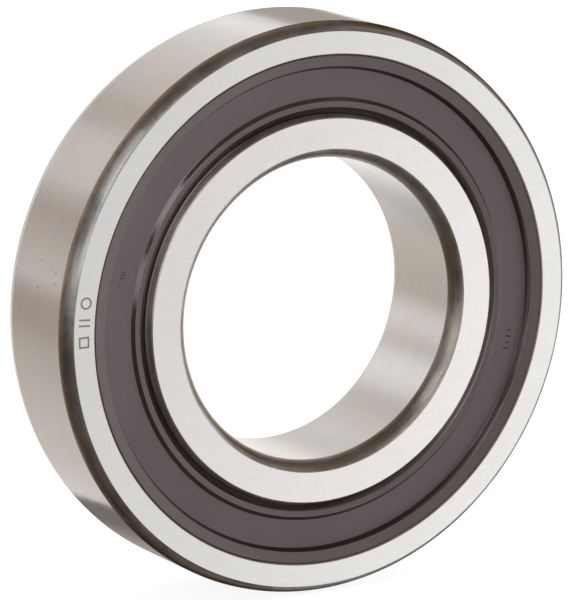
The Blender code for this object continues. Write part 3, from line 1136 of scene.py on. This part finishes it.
def floor_material():
    """Pale floor, lit from above; it is clear from below."""
    material, graph = bare_material("pale_floor")
    place = graph.put("ShaderNodeTexCoord").outputs["Object"]
    paper = graph.noise(place, stretch=(4, 4, 4), scale=60, detail=3)
    tone = graph.spread(paper, to=(0.247, 0.253))
    matt = graph.put("ShaderNodeBsdfDiffuse", {"Color": graph.join(tone, tone, tone)})
    lit = graph.put("ShaderNodeEmission", {"Color": opaque((1, 1, 1)), "Strength": 0.87})
    both = graph.put("ShaderNodeAddShader", {0: matt.outputs[0], 1: lit.outputs[0]})
    clear = graph.put("ShaderNodeBsdfTransparent")
    under = graph.put("ShaderNodeNewGeometry").outputs["Backfacing"]
    mixed = graph.put(
        "ShaderNodeMixShader", {0: under, 1: both.outputs[0], 2: clear.outputs[0]}
    )
    graph.put("ShaderNodeOutputMaterial", {0: mixed.outputs[0]})
    return material


# A lit sweep of panels behind the bearing and round its axis, with softer and darker joints.
# The bore looks through the hole at a nearer part of it.
# Columns: place round the axis in turns, level, level seen by the bore.
SWEEP = [
    (0.0089, 1.200, 1.820), (0.0311, 1.090, 1.321), (0.0644, 1.000, 1.220),
    (0.0978, 1.151, 1.231), (0.1311, 1.028, 1.107), (0.1589, 0.960, 0.912),
    (0.1811, 1.192, 0.848), (0.2033, 0.961, 0.802), (0.2311, 0.913, 0.945),
    (0.2589, 0.861, 0.934), (0.2978, 0.788, 0.862), (0.3311, 0.732, 0.837),
    (0.3589, 0.616, 0.782), (0.3811, 0.654, 0.873), (0.4033, 0.812, 1.060),
    (0.4311, 0.805, 1.115), (0.4589, 0.803, 1.077), (0.4756, 0.657, 0.935),
    (0.4978, 0.540, 0.778), (0.5200, 0.598, 0.935), (0.5478, 0.671, 1.044),
    (0.5756, 0.745, 0.906), (0.5978, 0.516, 0.653), (0.6256, 0.493, 0.700),
    (0.6589, 0.609, 0.703), (0.6978, 0.675, 0.747), (0.7422, 0.737, 0.799),
    (0.7867, 0.750, 0.889), (0.8311, 0.811, 0.778), (0.8644, 0.900, 0.905),
    (0.9089, 1.060, 1.087), (0.9644, 1.234, 1.265),
]
SWEEP_START = 23.6 / 360  # turns from the sweep's first place to world +X
SWEEP_MIDDLE = 0.85  # level straight behind the bearing


def swept(graph, way, near=False):
    """The level of the sweep in a direction: the world's or, with near, the bore's."""
    x, y, z = graph.split(way)
    turns = graph.mul(graph.math("ARCTAN2", z, x), 0.5 / math.pi)
    place = graph.add(turns, SWEEP_START)
    # The ramp holds half levels, as it can't go over 1.
    stops = [(at, (bore if near else level) / 2) for at, level, bore in SWEEP]
    panels = graph.curve(graph.math("FRACT", place), stops, interpolation="LINEAR")
    middle = graph.ease(y, start=0.93, end=0.99)
    level = graph.mul(panels, 2.0)
    level = graph.add(
        graph.mul(level, graph.math("SUBTRACT", 1.0, middle)), graph.mul(middle, SWEEP_MIDDLE)
    )
    if near:
        return graph.mul(level, graph.ease(y, start=0.10, end=0.60))
    # Towards the floor and the right the sweep begins farther back.
    floorward = graph.ease(z, start=0.0, end=-0.5)
    sideways = graph.ease(x, start=0.45, end=0.65)
    start = graph.add(0.15, graph.mul(graph.math("MAXIMUM", floorward, sideways), 0.35))
    end = graph.add(0.74, graph.mul(sideways, 0.07))
    return graph.mul(level, graph.ease(y, start, end))


def warmed(graph, light):
    """The colour of a light level: what is darker is also warmer."""
    return graph.join(
        light,
        graph.mul(light, graph.spread(light, to=(0.82, 0.99), within=(0.2, 1.0))),
        graph.mul(light, graph.spread(light, to=(0.70, 0.98), within=(0.2, 1.0))),
    )


def near_sweep():
    material, graph = bare_material("near_sweep")
    incoming = graph.put("ShaderNodeNewGeometry").outputs["Incoming"]
    way = graph.vector("MULTIPLY", incoming, (-1, -1, -1))
    least = 0.18
    level = graph.math("MAXIMUM", least, swept(graph, way, near=True))
    lit = graph.put("ShaderNodeEmission", {"Color": warmed(graph, level), "Strength": 1.0})
    graph.put("ShaderNodeOutputMaterial", {0: lit.outputs[0]})
    material.cycles.emission_sampling = "NONE"
    return material


def glow(name, stops, tint=(1.0, 0.99, 0.98), soft=0.0, clear=False):
    """A glowing card. stops are (place, level) pairs along its local X, from 0 to 1. soft is the
    share of its height over which it fades in from either end of its local Y. clear lets what is
    behind it through."""
    material, graph = bare_material(name)
    place = graph.split(graph.put("ShaderNodeTexCoord").outputs["Object"])
    top = max(level for _, level in stops)
    shares = [(at, level / top) for at, level in stops]
    level = graph.curve(graph.add(place[0], 0.5), shares)
    if soft:
        edge = graph.math("SUBTRACT", 0.5, graph.math("ABSOLUTE", place[1]))
        level = graph.mul(level, graph.ease(edge, start=0.0, end=soft))
    strength = graph.mul(level, top)
    lit = graph.put("ShaderNodeEmission", {"Color": opaque(tint), "Strength": strength})
    if clear:
        through = graph.put("ShaderNodeBsdfTransparent")
        lit = graph.put("ShaderNodeAddShader", {0: lit.outputs[0], 1: through.outputs[0]})
    graph.put("ShaderNodeOutputMaterial", {0: lit.outputs[0]})
    material.cycles.emission_sampling = "NONE"
    return material


floor = stage_plane(
    "floor",
    centre=(0, 0, cad_low.z - 0.00002),
    facing=(0, 0, 1),
    width=8,
    height=8,
    material=floor_material(),
)
floor.visible_glossy = False

# In front, to the right: a large bounce card that the flat sides mirror, brighter to the right
# and below.
BOUNCE_WAY = (0.4932, -0.8428, -0.2157)
only_reflected(
    "bounce_card",
    centre=Vector(BOUNCE_WAY) * 0.35,
    facing=-Vector(BOUNCE_WAY),
    width=0.40,
    height=0.40,
    material=glow("bounce", [(0.0, 1.73), (1.0, 0.655)]),
    turn=15,
)

# On the left: a window of two soft panes, one over the other.
# Columns: name, foot and head in world Z, level, soft share.
PANES = [
    ("pane_low", -0.040, 0.246, 1.95, 0.24),
    ("pane_high", 0.310, 0.900, 2.25, 0.20),
]
# place, share of the pane's level
PANE_STOPS = [
    (0.0, 0.8), (0.12, 1.0), (0.42, 1.0), (0.58, 0.75), (0.69, 0.52), (0.85, 0.78), (1.0, 0.35)
]
for name, low, high, level, soft in PANES:
    stops = [(place, share * level) for place, share in PANE_STOPS]
    only_reflected(
        name,
        centre=(-0.60, -0.40, (low + high) / 2),
        facing=(1, 0, 0),
        width=1.30,
        height=high - low,
        material=glow(name, stops, tint=(0.95, 0.98, 1.0), soft=soft),
    )

# Under the ring: the shaded strip of floor that the foot of the outer chamfer mirrors.
only_reflected(
    "shaded_floor",
    centre=(0.0335, 0.1193, cad_low.z + 0.0003),
    facing=(0, 0, 1),
    width=0.083,
    height=0.2615,
    material=glow("shade", [(0.0, 0.50), (0.28, 0.58), (0.45, 0.70), (0.65, 0.87), (1.0, 1.0)]),
)

# Two dark strips close by, which the ground outside diameter mirrors near its foot and its top. The one on the
# floor at the foot is painted shadow: a dim card standing for the bearing's shadow on the floor.
SHADOW_FOOT_STOPS = [
    (0.0, 0.20), (0.29, 0.22), (0.45, 0.30), (0.58, 0.38),
    (0.69, 0.42), (0.80, 0.41), (0.90, 0.30), (1.0, 0.24),
]
only_reflected(
    "painted_shadow_foot",
    centre=(-0.0194, 0.0219, cad_low.z + 0.0004),
    facing=(0, 0, 1),
    width=0.0215,
    height=0.050,
    material=glow("foot", SHADOW_FOOT_STOPS, tint=(1.0, 0.87, 0.83)),
    turn=-11,
)
only_reflected(
    "dark_head",
    centre=(0.030, 0.0525, 0.0508),
    facing=(-1, 0, 0),
    width=0.065,
    height=0.0222,
    material=glow("head", [(0.0, 0.44), (1.0, 0.44)], tint=(1.0, 0.91, 0.84)),
)

# Behind the bore: the nearer part of the sweep.
only_reflected(
    "near_sweep",
    centre=(0.020, 0.080, 0.0015),
    facing=(0, -1, 0),
    width=0.140,
    height=0.087,
    material=near_sweep(),
)

# In front, a little to the left: a soft card that lights only the satin rubber.
front_fill = only_reflected(
    "front_fill",
    centre=(-0.030, -0.125, 0.027),
    facing=(0, 1, -0.1),
    width=0.05,
    height=0.11,
    material=glow("fill", [(0.0, 3.6), (0.5, 6.6), (1.0, 3.6)], clear=True),
)
# And one low on the right, which the hollow corners of the rubber mirror.
SIDE_STOPS = [(0.0, 1.6), (0.25, 3.6), (0.75, 3.6), (1.0, 1.6)]
side_fill = only_reflected(
    "side_fill",
    centre=(0.279, -0.084, -0.066),
    facing=(-0.93, 0.28, 0.22),
    width=0.16,
    height=0.16,
    material=glow("side", SIDE_STOPS, soft=0.25, clear=True),
)
lit_by_fill = bpy.data.collections.new("lit_by_fill")
for rubber in rubbers.values():
    lit_by_fill.objects.link(rubber)
for card in (front_fill, side_fill):
    card.light_linking.receiver_collection = lit_by_fill

# ---------------------------------------------------------------- world
# Soft patches of light that the metal mirrors: axis, inner and outer angle in degrees, level
LOW_SIDE = ((0.80, 0.45, -0.42), 14, 46, 1.48)
LOBES = [
    ((0.38, 0.28, -0.88), 14, 42, 0.42),
    ((0.90, -0.38, -0.25), 16, 40, 1.20),
    ((0.05, -0.99, 0.10), 16, 34, 1.15),
    ((-0.30, -0.91, 0.29), 18, 36, 0.80),
    ((0.88, 0.00, 0.47), 15, 45, 0.50),
    ((0.74, 0.60, 0.26), 12, 34, 0.55),
    (BOUNCE_WAY, 22, 40, 1.15),
]


def lobe(graph, way, axis, inner_angle, outer_angle, level):
    """level inside the inner angle from axis, falling smoothly to 0 at the outer angle."""
    near = graph.vector("DOT_PRODUCT", way, Vector(axis).normalized())
    start = math.cos(math.radians(outer_angle))
    end = math.cos(math.radians(inner_angle))
    return graph.ease(near, start, end, to=(0.0, level))


def build_world():
    """White to the camera, an even soft white to matt surfaces, the studio to mirroring ones."""
    world = bpy.data.worlds.new("studio")
    bpy.context.scene.world = world
    world.use_nodes = True
    world.node_tree.nodes.clear()
    graph = Graph(world.node_tree)
    way = graph.put("ShaderNodeTexCoord").outputs["Generated"]
    up = graph.split(way)[2]

    ceiling = graph.ease(up, start=0.1, end=0.8, to=(0.18, 0.28))
    light = graph.math("MAXIMUM", ceiling, swept(graph, way))
    low_side = graph.mul(lobe(graph, way, *LOW_SIDE), graph.ease(up, start=-0.88, end=-0.55))
    light = graph.math("MAXIMUM", light, low_side)
    for patch in LOBES:
        light = graph.math("MAXIMUM", light, lobe(graph, way, *patch))

    def background(rgb):
        made = graph.put("ShaderNodeBackground", {"Color": rgb, "Strength": 1.0})
        return made.outputs[0]

    def choose(ray, otherwise, chosen):
        made = graph.put(
            "ShaderNodeMixShader", {0: paths.outputs[ray], 1: otherwise, 2: chosen}
        )
        return made.outputs[0]

    paths = graph.put("ShaderNodeLightPath")
    seen = background(opaque((1, 1, 1)))
    soft_white = background(opaque((1.0, 0.995, 0.99)))
    mirrored = background(warmed(graph, light))
    unseen = choose("Is Glossy Ray", soft_white, mirrored)
    result = choose("Is Camera Ray", unseen, seen)
    graph.put("ShaderNodeOutputWorld", {0: result})
    world.cycles.sampling_method = "NONE"


build_world()

# ---------------------------------------------------------------- camera and picture
# The camera's own axes in the world: to its right, up, and back from what it looks at
CAMERA_RIGHT = (0.86366, -0.5043, 0.0)
CAMERA_UP = (0.10884, 0.1864, 0.97644)
CAMERA_BACK = (-0.49242, -0.8433, 0.21583)

camera_data = bpy.data.cameras.new("camera")
camera_data.lens = 290.92
camera_data.sensor_width = 36
camera_data.clip_start, camera_data.clip_end = 0.05, 20
camera = link_object(bpy.data.objects.new("camera", camera_data))
camera.location = (-0.35243, -0.60224, 0.15416)
camera_axes = Matrix((CAMERA_RIGHT, CAMERA_UP, CAMERA_BACK)).transposed()
camera.rotation_mode = "QUATERNION"
camera.rotation_quaternion = camera_axes.to_quaternion()
bpy.context.scene.camera = camera
bpy.context.scene.view_settings.view_transform = "Standard"
